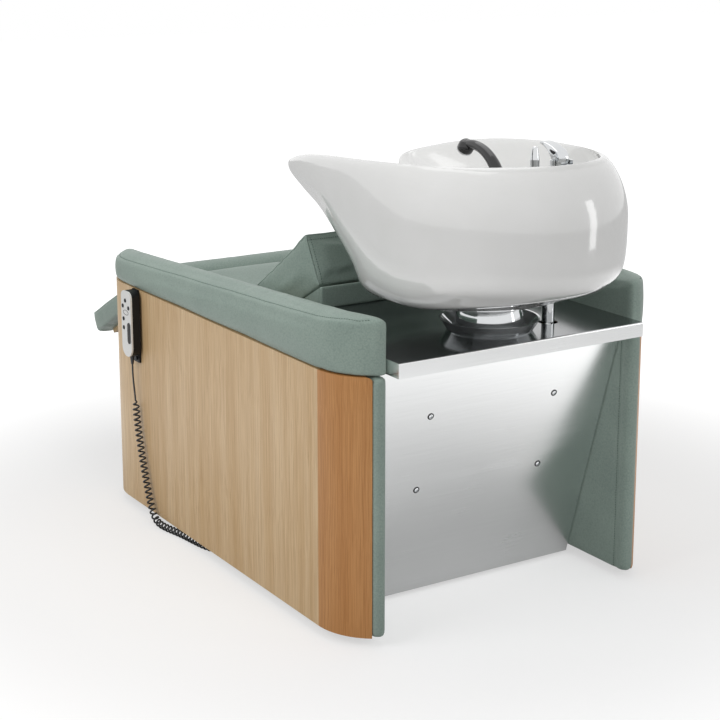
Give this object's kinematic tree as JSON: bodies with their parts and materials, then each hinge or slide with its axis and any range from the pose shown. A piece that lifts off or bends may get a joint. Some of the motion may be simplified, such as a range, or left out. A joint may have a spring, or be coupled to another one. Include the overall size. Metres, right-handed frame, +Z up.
{
  "type": "salon backwash unit",
  "caption": "Reclined salon wash seat between veneered, padded side panels, with a powered leg rest and a tilting ceramic basin on a steel shelf behind it.",
  "frame": {"origin": "on the floor, midway between the side panels and midway along them", "axes": "+Z up, the client faces -Y, the basin is at +Y, +X is the client's left, where the hand control hangs"},
  "size_m": [0.8166, 1.7145, 0.9909],
  "materials": {
    "veneer": "straight-grained oak veneer, satin lacquer",
    "upholstery": "grey-green grained leatherette",
    "frame_paint": "satin black powder coat",
    "rubber_feet": "matt",
    "stainless": "brushed stainless",
    "chrome": "polished chrome",
    "plywood": "raw birch plywood",
    "nylon": "natural nylon",
    "dark_plastic": "fine moulded texture",
    "white_plastic": "satin",
    "button_grey": "soft touch",
    "gloss_black": "gloss black",
    "ceramic": "white glazed ceramic",
    "cord_rubber": "satin"
  },
  "bodies": {
    "base": {"left_side_shell": "veneer", "right_side_shell": "veneer", "left_liner": "upholstery", "right_liner": "upholstery", "left_arm_pad": "upholstery", "right_arm_pad": "upholstery", "base_rails": "frame_paint", "rear_frame": "frame_paint", "cross_tubes": "frame_paint", "levelling_feet": "rubber_feet", "shelf": "stainless", "rear_cover": "stainless", "cover_screws": "chrome", "cover_straps": "frame_paint", "seat_cheeks": "plywood", "hinge_bushes": "nylon", "seat_board": "plywood", "backrest_board": "plywood", "front_apron": "plywood", "seat_cushion": "upholstery", "backrest_cushion": "upholstery", "backrest_rear_panel": "upholstery", "actuator_housing": "dark_plastic", "actuator_hanger": "frame_paint", "tilt_socket": "chrome", "tilt_pins": "chrome", "hand_cradle": "dark_plastic", "curly_cord": "cord_rubber", "control_box": "dark_plastic"},
    "leg_rest": {"legrest_cushion": "upholstery", "legrest_board": "plywood", "hinge_tube": "frame_paint", "legrest_arms": "frame_paint", "legrest_crank": "frame_paint"},
    "rod": {"actuator_rod": "chrome"},
    "basin_group": {"basin_bracket": "stainless", "tilt_dome": "chrome", "basin": "ceramic", "hose_sleeve": "chrome", "drain_flange": "chrome", "drain_nut": "chrome", "backflow_post": "chrome", "mixer_base": "chrome", "shower_guide": "chrome"},
    "strainer_body": {"strainer": "chrome"},
    "cap_body": {"mixer_cap": "chrome"},
    "lever_body": {"mixer_lever": "chrome"},
    "shower_body": {"shower_handle": "gloss_black", "spray_head": "chrome", "shower_hose": "gloss_black"},
    "handset": {"hand_back_shell": "dark_plastic", "hand_front_shell": "white_plastic", "strain_relief": "cord_rubber"},
    "button_1_body": {"button_1": "button_grey"},
    "button_2_body": {"button_2": "button_grey"},
    "button_3_body": {"button_3": "button_grey"},
    "button_4_body": {"button_4": "button_grey"},
    "button_5_body": {"button_5": "button_grey"},
    "rocker_body": {"rocker": "dark_plastic"}
  },
  "joints": [
    {"name": "leg_lift", "type": "hinge", "parent": "base", "child": "leg_rest", "pos_m": [0, -0.612, 0.5], "axis": [-1, 0, 0], "range_deg": [-45, 29]},
    {"name": "rod_slide", "type": "slide", "parent": "base", "child": "rod", "axis": [0, -0.9397, 0.342], "range_m": [-0.0708, 0.0457]},
    {"name": "basin_tilt", "type": "hinge", "parent": "base", "child": "basin_group", "pos_m": [0, 0.48, 0.604], "axis": [-1, 0, 0], "range_deg": [-5, 8]},
    {"name": "strainer_lift", "type": "slide", "parent": "basin_group", "child": "strainer_body", "axis": [0, 0, 1], "range_m": [0, 0.06]},
    {"name": "mixer_turn", "type": "hinge", "parent": "basin_group", "child": "cap_body", "pos_m": [-0.028, 0.66, 0.93], "axis": [0, 0, 1], "range_deg": [-50, 30]},
    {"name": "lever_lift", "type": "hinge", "parent": "cap_body", "child": "lever_body", "pos_m": [-0.028, 0.66, 0.9459], "axis": [-1, 0, 0], "range_deg": [0, 20]},
    {"name": "shower_pull", "type": "slide", "parent": "basin_group", "child": "shower_body", "axis": [0, -0.2588, 0.9659], "range_m": [0, 0.08]},
    {"name": "handset_pull", "type": "slide", "parent": "base", "child": "handset", "axis": [1, 0, 0], "range_m": [0, 0.04], "deforming": ["curly_cord"]},
    {"name": "button_1_press", "type": "slide", "parent": "handset", "child": "button_1_body", "axis": [-1, 0, 0], "range_m": [0, 0.001], "stiffness_N_per_m": 800},
    {"name": "button_2_press", "type": "slide", "parent": "handset", "child": "button_2_body", "axis": [-1, 0, 0], "range_m": [0, 0.001], "stiffness_N_per_m": 800},
    {"name": "button_3_press", "type": "slide", "parent": "handset", "child": "button_3_body", "axis": [-1, 0, 0], "range_m": [0, 0.001], "stiffness_N_per_m": 800},
    {"name": "button_4_press", "type": "slide", "parent": "handset", "child": "button_4_body", "axis": [-1, 0, 0], "range_m": [0, 0.001], "stiffness_N_per_m": 800},
    {"name": "button_5_press", "type": "slide", "parent": "handset", "child": "button_5_body", "axis": [-1, 0, 0], "range_m": [0, 0.001], "stiffness_N_per_m": 800},
    {"name": "rocker_rock", "type": "hinge", "parent": "handset", "child": "rocker_body", "pos_m": [0.4164, -0.3529, 0.45], "axis": [0, 1, 0], "range_deg": [-2.5, 2.5], "stiffness_Nm_per_rad": 0.5}
  ],
  "couplings": [
    {"joint": "rod_slide", "follows": "leg_lift", "m_per_rad": 0.09}
  ]
}
